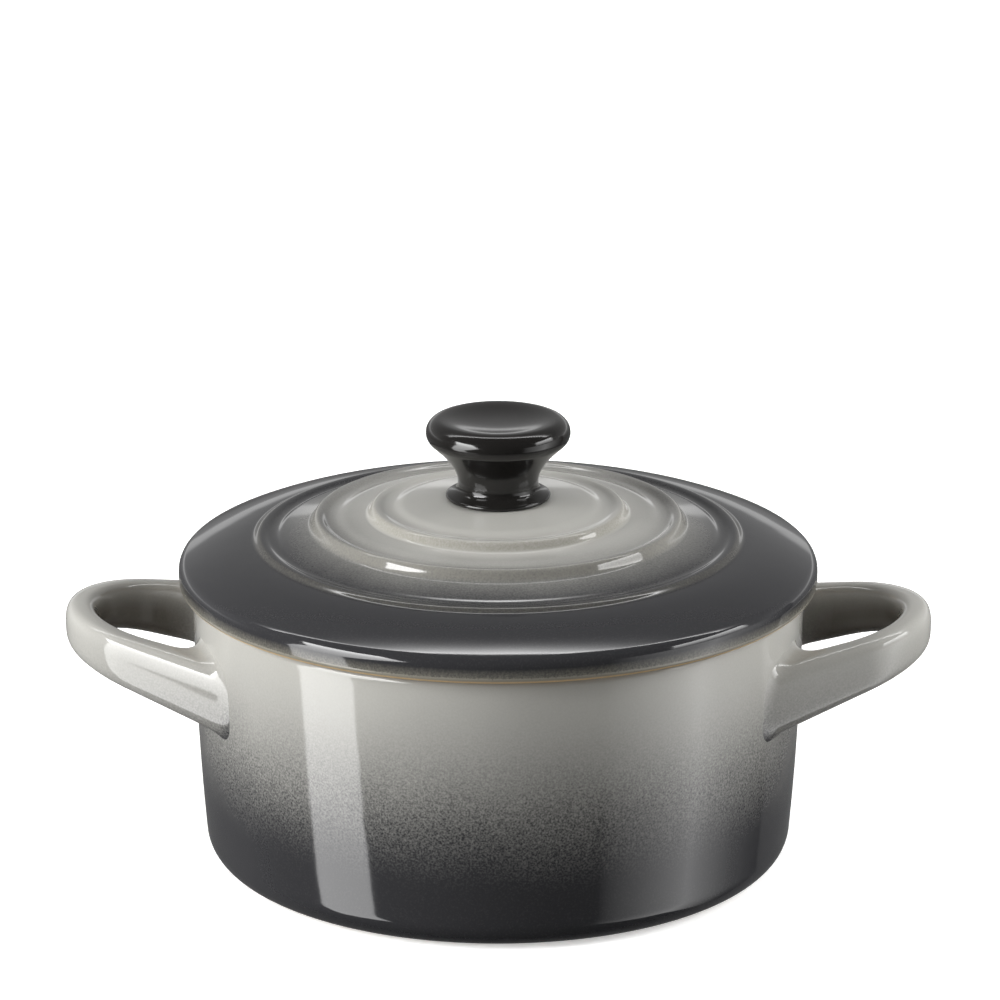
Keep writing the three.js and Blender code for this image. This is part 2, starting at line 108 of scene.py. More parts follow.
def linear(hex_colour):
    """Linear red, green, blue and alpha of an sRGB hex colour: the sRGB curve undone channel by channel."""
    srgb = np.array([int(hex_colour[i:i + 2], 16) for i in (1, 3, 5)]) / 255
    light = np.where(srgb <= 0.04045, srgb / 12.92, ((srgb + 0.055) / 1.055) ** 2.4)
    return (*light.tolist(), 1.0)


def colour(name, description, hex_colour):
    """A colour, given as sRGB hex and kept linear."""
    return FloatVectorProperty(
        name=name, description=description, default=linear(hex_colour), subtype="COLOR", size=4, min=0, max=1
    )


class PotSizes(bpy.types.PropertyGroup):
    rim_radius: length("Rim radius", "Outside of the wall at the rim", POT_HIGH.y)
    height: length("Height", "Foot to the top of the rim", POT_HIGH.z)
    wall: length("Wall", "Thickness of the wall", 5 * MM)
    draft: length("Draft", "How far the wall draws in from the rim to the base corner", 1.7 * MM)
    rim_round: length("Rim round", "Rounding of both edges of the rim", 1.2 * MM)
    base_corner: length("Base corner", "Radius between the wall and the base", 5 * MM)
    floor: length("Floor", "Thickness of the floor", 6 * MM)
    floor_corner: length("Floor corner", "Radius between the floor and the wall, inside", 8 * MM)
    foot_width: length("Foot width", "Width of the foot ring", 5 * MM)
    foot_depth: length("Foot depth", "How far the base lies above the foot ring", 1.2 * MM)
    foot_slope: length("Foot slope", "How far the ring's inner side leans", 1.5 * MM)
    foot_bare: length("Bare foot", "Height of bare clay above the foot ring's face", 0.5 * MM)
    seat_bare: length("Bare seat", "Width of the bare clay on the rim", 2.6 * MM)


class HandleSizes(bpy.types.PropertyGroup):
    projection: length("Projection", "From the rim's radius to the tip", POT_HIGH.x - POT_HIGH.y)
    nose_radius: length("Nose radius", "Outside of the round end, in plan", 18.7 * MM)
    outer_sweep: angle("Outer sweep", "Half the angle of the round end, outside", 65)
    inner_sweep: angle("Inner sweep", "Half the angle of the round end, inside", 74)
    thickness: length("Thickness", "Thickness of the round end", 5.1 * MM)
    root_tall: length("Root height", "Height of the strap at the wall", 11.3 * MM)
    tip_tall: length("Tip height", "Height of the strap at the tip", 6.7 * MM)
    root_below: length("Root below rim", "Rim down to the middle of the strap at the wall", 12.7 * MM)
    tip_below: length("Tip below rim", "Rim down to the middle of the strap at the tip", 6.2 * MM)
    section_power: share("Section power", "Superellipse power: 2 is an ellipse, higher is squarer", 3)
    foot_power: share("Foot power", "Superellipse power where the strap meets the wall", 6)
    outer_run: length("Outer run", "Where the blend into the wall begins, outside the loop", 2 * MM)
    inner_run: length("Inner run", "Where the blend into the wall begins, inside the loop", 8.5 * MM)
    blend_outer: length("Blend outside", "How far the blend spreads on the wall, outside the loop", 1.2 * MM)
    blend_inner: length("Blend inside", "How far the blend spreads on the wall, inside the loop", 6.5 * MM)
    outer_edge: length("Outer edge", "How far the blend spreads up and down, outside the loop", 0.4 * MM)
    inner_edge: length("Inner edge", "How far the blend spreads up and down, inside the loop", 3.2 * MM)
    blend_sink: length("Blend sink", "How far under the wall's surface the blend ends", 0.3 * MM)
    end_sink: length("End sink", "How far in the wall the strap ends", 1.7 * MM)


class LidSizes(bpy.types.PropertyGroup):
    radius: length("Radius", "Outside of the edge", LID_HIGH.x)
    top: length("Top", "Height of the flat under the knob", LID_HIGH.z)
    seat: length("Seat", "Height of the face that rests on the rim", POT_HIGH.z + 0.25 * MM)
    thickness: length("Thickness", "Thickness at the knob", 5 * MM)
    edge_round: length("Edge round", "Rounding under the edge", 1.2 * MM)
    shoulder_round: length("Shoulder round", "Rounding over the edge", 2.1 * MM)
    inner_slope: angle("Inner slope", "Fall of the brim beside the outer ring", 6)
    outer_slope: angle("Outer slope", "Fall of the brim beside the shoulder", 25.5)
    knob_seat: length("Knob seat", "Radius of the flat under the knob", 9.2 * MM)
    seat_soft: length("Seat softness", "How far the edge of that flat is eased each way", 0.6 * MM)
    screw_seat: length("Screw seat", "Radius of the flat round the screw, below", 8 * MM)
    under_crown: length("Crown", "Drop of the underside's curve near its middle", 0.4 * MM)
    flange_foot: length("Flange foot", "Height of the foot of the locating flange", LID_LOW.z)
    flange_radius: length("Flange radius", "Outside of the locating flange", 43.8 * MM)
    flange_width: length("Flange width", "Width of the locating flange", 3.4 * MM)
    flange_round: length("Flange round", "Rounding of the flange's foot", 1 * MM)
    hole: length("Screw hole", "Radius of the hole for the screw", 2.6 * MM)
    ring_inside: lengths("Ring inset", "Rim radius in to each crest", 30 * MM, 20.6 * MM, 11.3 * MM)
    ring_below: lengths("Ring fall", "Knob seat down to each crest", 1.2 * MM, 2.7 * MM, 5.9 * MM)
    ring_groove: lengths("Ring groove", "Depth of the groove inside", 0.25 * MM, 0.65 * MM, 0.3 * MM)
    ring_step: lengths("Ring step", "Drop of the step outside", 1.5 * MM, 2 * MM, 0.8 * MM)
    ring_brink: lengths("Ring brink", "Crest in to where the terrace turns down", 5 * MM, 5 * MM, 3.6 * MM)
    ring_rise: lengths("Ring rise", "Groove up to where the terrace turns", 0.65 * MM, 0.5 * MM, 0.5 * MM)
    groove_reach: length("Groove reach", "From a crest in to the bottom of its groove", 1.9 * MM)
    step_width: length("Step width", "From a crest out to the foot of its step", 1.85 * MM)


class KnobSizes(bpy.types.PropertyGroup):
    foot: length("Foot", "Height of the foot's face", KNOB_LOW.z)
    top: length("Top", "Height of the lip", KNOB_HIGH.z)
    foot_radius: length("Foot radius", "Outside of the foot", 8.55 * MM)
    foot_tall: length("Foot height", "Height of the foot's edge", 0.9 * MM)
    foot_round: length("Foot round", "Rounding of the foot's edge", 0.4 * MM)
    waist_radius: length("Waist radius", "Radius of the neck", 6.6 * MM)
    waist_height: length("Waist height", "Foot to the neck", 2.75 * MM)
    lip_radius: length("Lip radius", "Outside of the lip", 11.8 * MM)
    lip_round: length("Lip round", "Rounding of the lip", 2.35 * MM)
    lip_flare: angle("Lip flare", "How far under the lip's round the neck joins it", 48)
    neck_pull: share("Neck pull", "How strongly the neck follows the lip's flare", 0.29)
    neck_rise: share("Neck rise", "How strongly the neck stands upright over the waist", 0.44)
    dish: length("Dish", "Hollow of the top", 0.8 * MM)
    dish_brink: share("Dish brink", "Where the hollow begins, as a share of the lip's circle", 0.8)
    dish_flat: share("Dish flat", "Where the hollow levels out, as a share of the lip's circle", 0.6)
    bore: length("Bore", "Radius of the bore for the bush", 3.5 * MM)
    bore_depth: length("Bore depth", "Foot to the end of the bore", 9.05 * MM)


class FasteningSizes(bpy.types.PropertyGroup):
    thread_radius: length("Thread radius", "Outside of the screw's thread", 2 * MM)
    thread_depth: length("Thread depth", "Depth of the thread", 0.35 * MM)
    thread_pitch: length("Thread pitch", "From one turn of the thread to the next", 0.7 * MM)
    head_radius: length("Head radius", "Outside of the screw's head", SCREW_HIGH.x)
    head_tall: length("Head height", "Height of the screw's head", 2.6 * MM)
    head_round: length("Head round", "Rounding of the screw's head", 1.4 * MM)
    recess_width: length("Recess width", "Width of each arm of the cross recess", 1 * MM)
    recess_span: length("Recess span", "End to end of the cross recess", 4.4 * MM)
    recess_depth: length("Recess depth", "Depth of the cross recess", 1.5 * MM)
    washer_hole: length("Washer hole", "Radius of the washers' holes", 2.3 * MM)
    washer_round: length("Washer round", "Rounding of the washers' edges", 0.15 * MM)


class Finishes(bpy.types.PropertyGroup):
    light_glaze: colour("Light glaze", "Glaze at the rim and round the knob", "#9f9e99")
    dark_glaze: colour("Dark glaze", "Glaze at the foot and on the brim", "#2d2d2f")
    thin_glaze: colour("Thin glaze", "Glaze where it has drawn back from an edge", "#7d7a70")
    inner_glaze: colour("Inner glaze", "Glaze inside the pot and under the lid", "#b9b6ae")
    # Painted shade: a dark brown laid over the inside of the handle loops
    under_glaze: colour("Under glaze", "Brown glaze inside the loops, where the spray missed", "#4a443c")
    bare_clay: colour("Bare clay", "Unglazed stoneware at the seats and the foot", "#c3a67c")
    knob_black: colour("Knob black", "Polished phenolic of the knob", "#1c1b1a")
    pot_dark: length("Pot dark", "Height below which the pot is dark", 10 * MM)
    pot_light: length("Pot light", "Height above which the pot is light", 46 * MM)
    pot_fall: share("Pot fall", "Power of the pot's change from dark to light", 1.0)
    lid_dark: length("Lid dark", "Radius outside which the lid is dark", 40 * MM)
    lid_light: length("Lid light", "Radius inside which the lid is light", 20 * MM)
    lid_fall: share("Lid fall", "Power of the lid's change from dark to light", 1.2)
    cloud_size: length("Cloud size", "Size of the clouds in the sprayed edge", 18 * MM)
    cloud_drift: length("Cloud drift", "How far the clouds push the sprayed edge about", 5 * MM)
    ripple_size: length("Ripple size", "Size of the swells in the glaze", 9 * MM)
    ripple_depth: length("Ripple depth", "Depth of the swells in the glaze", 0.06 * MM)
    speckle_size: length("Speckle size", "Grain of the pigment in the glaze", 0.32 * MM)
    pot_speckle: share("Pot speckle", "How strongly the pigment speckles where the pot darkens", 0.9)
    lid_speckle: share("Lid speckle", "How strongly the pigment speckles where the lid darkens", 0.25)


class StudioSettings(bpy.types.PropertyGroup):
    view_distance: length("View distance", "Camera to the middle of the view", 0.95)
    view_height: length("View height", "Height of the middle of the view on the object's axis", 60.09 * MM)
    view_side: length("View side", "Sideways shift of the camera", 0.3 * MM)
    view_elevation: angle("View elevation", "How far the camera looks down", 17.58)
    view_azimuth: angle("View azimuth", "How far the camera stands round to the right", 0.71)
    lens: FloatProperty(name="Lens", description="Focal length in millimetres", default=209.4)
    floor_radius: length("Floor radius", "Radius of the floor", 2.2)
    tent_radius: length("Tent radius", "Radius of the dark tent that the glaze mirrors", 3.0)
    card_distance: length("Card distance", "From the object to the reflector cards and the lamps", 0.9)
    ambient: share("Ambient", "Strength of the room's soft light", 0.45)
    floor: colour("Floor", "Colour of the floor, as it is seen", "#f9f9f8")
    floor_glow: share("Floor glow", "How far the floor is lifted to white where it is seen", 0.45)
    floor_bounce: colour("Floor bounce", "Colour of the light that the floor throws back", "#959595")


class CocotteSettings(bpy.types.PropertyGroup):
    pot: PointerProperty(type=PotSizes)
    handle: PointerProperty(type=HandleSizes)
    lid: PointerProperty(type=LidSizes)
    knob: PointerProperty(type=KnobSizes)
    fastening: PointerProperty(type=FasteningSizes)
    finish: PointerProperty(type=Finishes)
    studio: PointerProperty(type=StudioSettings)


# Outlines: arrays of points, each a radius and a height

def line(*points):
    """Straight from point to point."""
    return np.array(points, float)


def arc(centre, radius, first, last, steps=ARC_STEPS):
    """A circle's arc: centre + radius * (cos, sin) of an angle that runs evenly from first to last."""
    turn = np.linspace(first, last, steps + 1)
    return np.array(centre) + radius * np.stack([np.cos(turn), np.sin(turn)], axis=1)


def bezier(*points, steps=CURVE_STEPS):
    """A Bezier curve: the points weighted by the Bernstein polynomials of their count."""
    degree = len(points) - 1
    t = np.linspace(0, 1, steps + 1)[:, None]
    weights = [math.comb(degree, k) * t ** k * (1 - t) ** (degree - k) for k in range(degree + 1)]
    return sum(weight * np.array(point) for weight, point in zip(weights, points))


def ease(start, end, first=0.0, last=0.0, steps=CURVE_STEPS):
    """An S-curve with a given slope at each end: a cubic Bezier whose handles reach halfway across."""
    half = (end[0] - start[0]) / 2
    halfway = start[0] + half
    leaves = (halfway, start[1] + first * half)
    arrives = (halfway, end[1] - last * half)
    return bezier(start, leaves, arrives, end, steps=steps)


def joined(*stretches):
    """The stretches end to end, with the points that two of them share kept once."""
    points = np.concatenate(stretches)
    gaps = np.linalg.norm(np.diff(points, axis=0), axis=1)
    return points[np.concatenate([[True], gaps > 1e-8])]


def smooth(low, high, value):
    """Smoothstep: 0 below low, 1 above high, and 3t^2 - 2t^3 between them."""
    t = np.clip((value - low) / (high - low), 0, 1)
    return t * t * (3 - 2 * t)


# Meshes

def turned(outline, sides=TURNS):
    """Surface of revolution: the outline's (radius, height) at turn t is (r cos t, r sin t, height)."""
    turn = np.linspace(0, 2 * math.pi, sides, endpoint=False)
    radius = outline[:, 0, None]
    height = np.broadcast_to(outline[:, 1, None], (len(outline), sides))
    return np.stack([radius * np.cos(turn), radius * np.sin(turn), height], axis=-1)


def grid_faces(rows, columns, closed):
    """Quads between neighbours of a grid that closes round its columns, and round its rows if asked."""
    row, column = np.meshgrid(np.arange(rows if closed else rows - 1), np.arange(columns), indexing="ij")
    beside = (column + 1) % columns
    above = (row + 1) % rows
    here = row * columns
    next_row = above * columns
    corners = [here + column, here + beside, next_row + beside, next_row + column]
    return np.stack(corners, axis=-1).reshape(-1, 4)


def skin(name, grid, closed=False, tones=None):
    """A mesh over a grid of points, its end rows each closed by a fan round their middle.

    tones gives each point attribute's value for every row of the grid, or for every point."""
    rows, columns = grid.shape[:2]
    points = grid.reshape(-1, 3)
    faces = grid_faces(rows, columns, closed).tolist()
    ends = []
    if not closed:
        here = np.arange(columns)
        beside = (here + 1) % columns
        last = (rows - 1) * columns
        first_pole = np.full(columns, len(points))
        faces += np.stack([first_pole, beside, here], axis=1).tolist()
        faces += np.stack([first_pole + 1, last + here, last + beside], axis=1).tolist()
        ends = [grid[0].mean(axis=0), grid[-1].mean(axis=0)]
        points = np.concatenate([points, ends])
    mesh = bpy.data.meshes.new(name)
    mesh.from_pydata(points.tolist(), [], faces)
    for tone, values in (tones or {}).items():
        values = np.asarray(values, float)
        spread = values if values.ndim == 2 else np.repeat(values[:, None], columns, axis=1)
        flat = spread.reshape(-1)
        if len(ends):
            flat = np.concatenate([flat, [spread[0].mean(), spread[-1].mean()]])
        mesh.attributes.new(tone, "FLOAT", "POINT").data.foreach_set("value", flat.astype(np.float32))
    mesh.shade_smooth()
    return mesh


def linked(name, data):
    """A new object in the scene for a mesh, a lamp or a camera."""
    item = bpy.data.objects.new(name, data)
    bpy.context.scene.collection.objects.link(item)
    return item


def place(mesh, material, body, node):
    """An object for a mesh, riding on a body in place of a node of the frame."""
    mesh.materials.append(material)
    piece = linked(mesh.name, mesh)
    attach(piece, body)
    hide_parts(node)


# Pot

def wall_inset(pot, height):
    """How far the wall has drawn in: the draft times the square of the share of the way down."""
    top = pot.height - pot.rim_round
    return pot.draft * ((top - height) / (top - pot.base_corner)) ** 2


def wall_lean(pot, height):
    """The wall's angle from upright, from the slope of its parabola."""
    top = pot.height - pot.rim_round
    return math.atan(2 * pot.draft * (top - height) / (top - pot.base_corner) ** 2)


def pot_outline(pot):
    """From the middle of the underside over the foot ring, up the wall, over the rim and down to the floor.

    The wall is a parabola and every corner an arc."""
    top = pot.height - pot.rim_round
    base_lean = wall_lean(pot, pot.base_corner)
    foot = pot.rim_radius - wall_inset(pot, pot.base_corner) - pot.base_corner / math.cos(base_lean)
    foot_inside = foot - pot.foot_width
    inside = pot.rim_radius - pot.wall
    turn = pot.floor + pot.floor_corner
    floor_lean = wall_lean(pot, turn)
    floor_radius = inside - wall_inset(pot, turn) - pot.floor_corner / math.cos(floor_lean)
    up = np.linspace(pot.base_corner, top, 2 * CURVE_STEPS)
    down = np.linspace(top, turn, 2 * CURVE_STEPS)
    quarter = math.pi / 2
    base_ring = foot_inside - pot.foot_slope
    return joined(
        line((base_ring / 2, pot.foot_depth)),
        ease((base_ring, pot.foot_depth), (foot_inside, 0), steps=ARC_STEPS),
        line((foot, 0)),
        arc((foot, pot.base_corner), pot.base_corner, -quarter, -base_lean, steps=CURVE_STEPS),
        np.stack([pot.rim_radius - wall_inset(pot, up), up], axis=1),
        arc((pot.rim_radius - pot.rim_round, top), pot.rim_round, 0, quarter),
        arc((inside + pot.rim_round, top), pot.rim_round, quarter, 2 * quarter),
        np.stack([inside - wall_inset(pot, down), down], axis=1),
        arc((floor_radius, turn), pot.floor_corner, -floor_lean, -quarter, steps=CURVE_STEPS),
        line((floor_radius / 2, pot.floor)),
    )


def pot_tones(pot, outline):
    """Which rows are bare clay, the foot ring's face and the rim's seat, and which are inside."""
    radius, height = outline.T
    rim = np.argmax(height)
    row = np.arange(len(outline))
    outside = row <= rim + ARC_STEPS
    foot_face = outside * (1 - smooth(0.4 * pot.foot_bare, pot.foot_bare, height))
    middle = pot.rim_radius - pot.wall / 2
    on_rim = smooth(pot.height - pot.rim_round, pot.height - 0.5 * pot.rim_round, height)
    seat = on_rim * (1 - smooth(0.8 * pot.seat_bare, pot.seat_bare, 2 * np.abs(radius - middle)))
    return {"bare": np.maximum(foot_face, seat), "inner": (row > rim + ARC_STEPS // 2).astype(float)}


# Loop handles

def reach_of_wall(start, run, radius):
    """How far along a line in plan it first meets a circle: the smaller root of its quadratic equation."""
    along = (start[:, :2] * run[:, :2]).sum(axis=1)
    pace = (run[:, :2] ** 2).sum(axis=1)
    beyond = (start[:, :2] ** 2).sum(axis=1) - radius ** 2
    return (-along - np.sqrt(along ** 2 - pace * beyond)) / pace


def strap_section(power):
    """A superellipse in unit sizes: across runs from inside the loop to outside it, up is height."""
    turn = np.linspace(0, 2 * math.pi, SECTION_STEPS, endpoint=False)
    across = np.sign(np.cos(turn)) * np.abs(np.cos(turn)) ** (2 / power)
    up = np.sign(np.sin(turn)) * np.abs(np.sin(turn)) ** (2 / power)
    return across, up


def between(inner, outer, across):
    """From the value inside the loop to the value outside it, evenly across the strap."""
    return inner + (1 + across) / 2 * (outer - inner)


def handle_grid(pot, handle):
    """Rings of the strap from the root at -Y round the nose to the root at +Y, for the handle along +X.

    The section is a superellipse. The nose is an arc in plan, and each line of the strap leaves it at its own
    angle and runs straight on to the wall, where it turns in a quadratic Bezier curve to its place in a
    squarer section on the wall. The strap's height and its middle change evenly along X."""
    tip = pot.rim_radius + handle.projection
    nose = tip - handle.nose_radius
    middle = handle.nose_radius - handle.thickness / 2
    spine_sweep = between(handle.inner_sweep, handle.outer_sweep, 0)
    spine_end = np.array([[nose + middle * math.cos(spine_sweep), middle * math.sin(spine_sweep)]])
    spine_run = np.array([[-math.sin(spine_sweep), math.cos(spine_sweep)]])
    root = spine_end[0, 0] + spine_run[0, 0] * reach_of_wall(spine_end, spine_run, pot.rim_radius)[0]

    def heights(x, up):
        along = (x - root) / (tip - root)
        below = handle.root_below + along * (handle.tip_below - handle.root_below)
        tall = handle.root_tall + along * (handle.tip_tall - handle.root_tall)
        return pot.height - below + up * tall / 2

    def nose_rings(along, across, up):
        angles = along * between(handle.inner_sweep, handle.outer_sweep, across)
        reach = middle + across * handle.thickness / 2
        z = heights(nose + middle * np.cos(angles), up)
        return np.stack([nose + reach * np.cos(angles), reach * np.sin(angles), z], axis=-1)

    def arm_path(across, up):
        sweep = between(handle.inner_sweep, handle.outer_sweep, across)
        start = nose_rings(1, across, up)
        leaves = nose + middle * np.cos(sweep)
        climb = heights(leaves - np.sin(sweep), up) - heights(leaves, up)
        run = np.stack([-np.sin(sweep), np.cos(sweep), climb], axis=1)
        meets = start
        for _ in range(WALL_PASSES):
            wall = pot.rim_radius - wall_inset(pot, meets[:, 2])
            meets = start + run * reach_of_wall(start, run, wall)[:, None]
        return start, run, meets

    across, up = strap_section(handle.section_power)
    start, run, meets = arm_path(across, up)
    foot_across, foot_up = strap_section(handle.foot_power)
    foot = arm_path(foot_across, foot_up)[2]
    spread = foot_across * np.where(foot_across > 0, handle.blend_outer, handle.blend_inner)
    end_turn = np.arctan2(foot[:, 1], foot[:, 0]) + spread / pot.rim_radius
    end_height = foot[:, 2] + foot_up * between(handle.inner_edge, handle.outer_edge, foot_across)

    def on_wall(depth):
        reach = pot.rim_radius - wall_inset(pot, end_height) - depth
        return np.stack([reach * np.cos(end_turn), reach * np.sin(end_turn), end_height], axis=1)

    begins = meets - run * between(handle.inner_run, handle.outer_run, across)[:, None]
    t = np.linspace(0, 1, ARM_STEPS + 1)[1:, None, None]
    arm = start + t * (begins - start)
    t = np.linspace(0, 1, BLEND_STEPS + 1)[1:, None, None]
    blend = (1 - t) ** 2 * begins + 2 * t * (1 - t) * meets + t ** 2 * on_wall(handle.blend_sink)
    far_arm = np.concatenate([arm, blend, on_wall(handle.end_sink)[None]])
    near_arm = far_arm[::-1] * np.array([1, -1, 1])
    round_end = nose_rings(np.linspace(-1, 1, NOSE_STEPS + 1)[:, None], across, up)
    return np.concatenate([near_arm, round_end, far_arm])


def handle_tones(handle):
    """Darker glaze pooled in each root's lower outside corner, with painted shade there too, and painted shade
    on the loop's inside, darker towards the bottom.
    """
    across, up = strap_section(handle.section_power)
    rows = 2 * (ARM_STEPS + BLEND_STEPS + 1) + NOSE_STEPS + 1
    from_end = np.minimum(np.arange(rows), np.arange(rows)[::-1])
    near_wall = 1 - smooth(0.3 * BLEND_STEPS, BLEND_STEPS + 3, from_end)[:, None]
    # Painted shade with pooled glaze: darkens the lower outside corner of each root where it meets the wall
    corner = near_wall * smooth(-0.3, 0.8, -up) * smooth(-0.2, 0.6, across)
    # Painted shade: darkens the loop's inside, most at the bottom
    inside = (1 - near_wall) * smooth(0.2, 0.9, -across) * (1 - 0.6 * smooth(-0.2, 0.9, up))
    return {"pool": 0.9 * corner, "loop_inside_shade": 0.85 * inside}


# Lid

# How far the glaze has drawn back from each ring's step, from the inner ring to the outer one
RING_THINNING = (0.8, 0.5, 0.25)


def lid_outline(pot, lid):
    """A closed section: along the underside, round the flange, seat and edge, and back over the rings.

    The rings are S-curves between each step's foot, crest, groove and brink, and run on smoothly into the
    straight terraces between them."""
    quarter = math.pi / 2
    underside = lid.top - lid.thickness
    flange_inside = lid.flange_radius - lid.flange_width
    flange_turn = lid.flange_foot + lid.flange_round
    crest_radius = pot.rim_radius - np.array(lid.ring_inside)
    crest = lid.top - np.array(lid.ring_below)
    foot_radius = crest_radius + lid.step_width
    foot = crest - np.array(lid.ring_step)
    hollow_radius = crest_radius - lid.groove_reach
    hollow = crest - np.array(lid.ring_groove)
    brink_radius = crest_radius - np.array(lid.ring_brink)
    brink = hollow + np.array(lid.ring_rise)
    terrace_radius = np.append(lid.knob_seat, foot_radius[:-1])
    terrace = np.append(lid.top, foot[:-1])
    slope_inside = (brink - terrace) / (brink_radius - terrace_radius)
    slope_outside = np.append(slope_inside[1:], -math.tan(lid.inner_slope))

    shoulder = lid.radius - lid.shoulder_round
    brim_start = foot_radius[-1]
    brim_end = shoulder + lid.shoulder_round * math.sin(lid.outer_slope)
    brim_half = (brim_end - brim_start) / 2
    brim_turn = foot[-1] - brim_half * math.tan(lid.inner_slope)
    brim_foot = brim_turn - brim_half * math.tan(lid.outer_slope)
    shoulder_height = brim_foot - lid.shoulder_round * math.cos(lid.outer_slope)
    rings = []
    for k in (2, 1, 0):
        rings += [
            ease((foot_radius[k], foot[k]), (crest_radius[k], crest[k]), first=slope_outside[k]),
            ease((crest_radius[k], crest[k]), (hollow_radius[k], hollow[k])),
            ease((hollow_radius[k], hollow[k]), (brink_radius[k], brink[k]), last=slope_inside[k]),
        ]
    return joined(
        line((lid.hole, underside), (lid.screw_seat, underside)),
        bezier(
            (lid.screw_seat, underside),
            ((lid.screw_seat + flange_inside) / 2, underside - lid.under_crown),
            (flange_inside, lid.seat + lid.flange_round),
        ),
        arc((flange_inside + lid.flange_round, flange_turn), lid.flange_round, 2 * quarter, 3 * quarter),
        arc((lid.flange_radius - lid.flange_round, flange_turn), lid.flange_round, -quarter, 0),
        line((lid.flange_radius, lid.seat)),
        arc((lid.radius - lid.edge_round, lid.seat + lid.edge_round), lid.edge_round, -quarter, 0),
        arc((shoulder, shoulder_height), lid.shoulder_round, 0, quarter - lid.outer_slope, steps=CURVE_STEPS),
        bezier((brim_end, brim_foot), (brim_start + brim_half, brim_turn), (brim_start, foot[-1])),
        *rings,
        bezier(
            (lid.knob_seat + lid.seat_soft, lid.top + slope_inside[0] * lid.seat_soft),
            (lid.knob_seat, lid.top),
            (lid.knob_seat - lid.seat_soft, lid.top),
        ),
        line((lid.hole, lid.top)),
    )


def lid_tones(pot, lid, outline):
    """Bare clay on the seat, thin glaze on the steps and the low edge, and which rows lie underneath."""
    radius, height = outline.T
    above_seat = height - lid.seat
    row = np.arange(len(outline))
    widest = np.argmax(radius)
    on_seat = (row < widest) & (radius > lid.flange_radius - 0.1 * MM)
    bare = on_seat * (1 - smooth(0.4 * MM, 0.65 * MM, above_seat))
    thin = 2 * (row <= widest + ARC_STEPS) * (1 - smooth(0.9 * MM, 1.4 * MM, above_seat))
    for inside, drawn_back in zip(lid.ring_inside, RING_THINNING):
        past_crest = radius - (pot.rim_radius - inside)
        rise = smooth(-0.1 * MM, 0.5 * MM, past_crest)
        fall = 1 - smooth(1.0 * MM, 1.7 * MM, past_crest)
        thin = np.maximum(thin, drawn_back * (row > widest) * rise * fall)
    thin = thin * (row > widest - ARC_STEPS)
    return {"bare": bare, "thin": thin, "inner": (row < widest - ARC_STEPS).astype(float)}


# Knob

def knob_outline(knob):
    """From the end of the bore out over the foot, in to the waist, out to the lip and over the dished top."""
    foot_top = knob.foot + knob.foot_tall
    waist = knob.foot + knob.waist_height
    lip = knob.lip_radius - knob.lip_round
    lip_height = knob.top - knob.lip_round
    join = (
        lip + knob.lip_round * math.cos(knob.lip_flare),
        lip_height - knob.lip_round * math.sin(knob.lip_flare),
    )
    pull = (join[0] - knob.waist_radius) * knob.neck_pull
    edge = knob.foot_radius - knob.foot_round
    return joined(
        line((knob.bore / 2, knob.foot + knob.bore_depth), (knob.bore, knob.foot + knob.bore_depth)),
        line((knob.bore, knob.foot), (edge, knob.foot)),
        arc((edge, knob.foot + knob.foot_round), knob.foot_round, -math.pi / 2, math.pi / 3),
        bezier(
            (edge + knob.foot_round / 2, knob.foot + knob.foot_round * (1 + math.sin(math.pi / 3))),
            (knob.waist_radius, foot_top + knob.foot_round),
            (knob.waist_radius, (foot_top + waist) / 2),
            (knob.waist_radius, waist),
        ),
        bezier(
            (knob.waist_radius, waist),
            (knob.waist_radius, waist + knob.neck_rise * (join[1] - waist)),
            (join[0] - pull * math.sin(knob.lip_flare), join[1] - pull * math.cos(knob.lip_flare)),
            join,
        ),
        arc((lip, lip_height), knob.lip_round, -knob.lip_flare, math.pi / 2, steps=2 * CURVE_STEPS),
        bezier(
            (lip, knob.top),
            (lip * knob.dish_brink, knob.top),
            (lip * knob.dish_flat, knob.top - knob.dish),
            (0.02 * lip, knob.top - knob.dish),
        ),
    )


# Fastening

def screw_grid(screw, seat, end):
    """A pan head and a threaded shank on one grid of rows and turns.

    The head's face is sunk by the recess depth inside a cross, and the shank's radius falls by the thread
    depth as a triangle wave of height over pitch plus the turn."""
    turn = np.linspace(0, 2 * math.pi, FASTENER_TURNS, endpoint=False)
    face = seat - screw.head_tall
    flat = screw.head_radius - screw.head_round
    disc = np.linspace(0.02, 1, 5 * CURVE_STEPS) * flat
    x = disc[:, None] * np.cos(turn)
    y = disc[:, None] * np.sin(turn)
    soft = 0.06 * MM
    half_width = screw.recess_width / 2
    half_span = screw.recess_span / 2

    def within(half, reach):
        return 1 - smooth(half - soft, half, np.abs(reach))

    arm_x = within(half_width, y) * within(half_span, x)
    arm_y = within(half_width, x) * within(half_span, y)
    head_face = np.stack([x, y, face + screw.recess_depth * np.maximum(arm_x, arm_y)], axis=-1)
    rim = turned(
        joined(
            arc((flat, face + screw.head_round), screw.head_round, -math.pi / 2, 0)[1:],
            line((screw.head_radius, seat), (screw.thread_radius, seat)),
        ),
        FASTENER_TURNS,
    )
    height = np.linspace(seat, end, 12 * CURVE_STEPS)[1:, None]
    wave = 2 * np.abs((height / screw.thread_pitch + turn / (2 * math.pi)) % 1 - 0.5)
    near_head = 1 - smooth(0, screw.thread_pitch, height - seat)
    radius = screw.thread_radius - screw.thread_depth * wave * (1 - near_head)
    radius = radius * (1 - 0.25 * smooth(end - 0.5 * MM, end, height))
    level = np.broadcast_to(height, radius.shape)
    shank = np.stack([radius * np.cos(turn), radius * np.sin(turn), level], axis=-1)
    return np.concatenate([head_face, rim, shank])


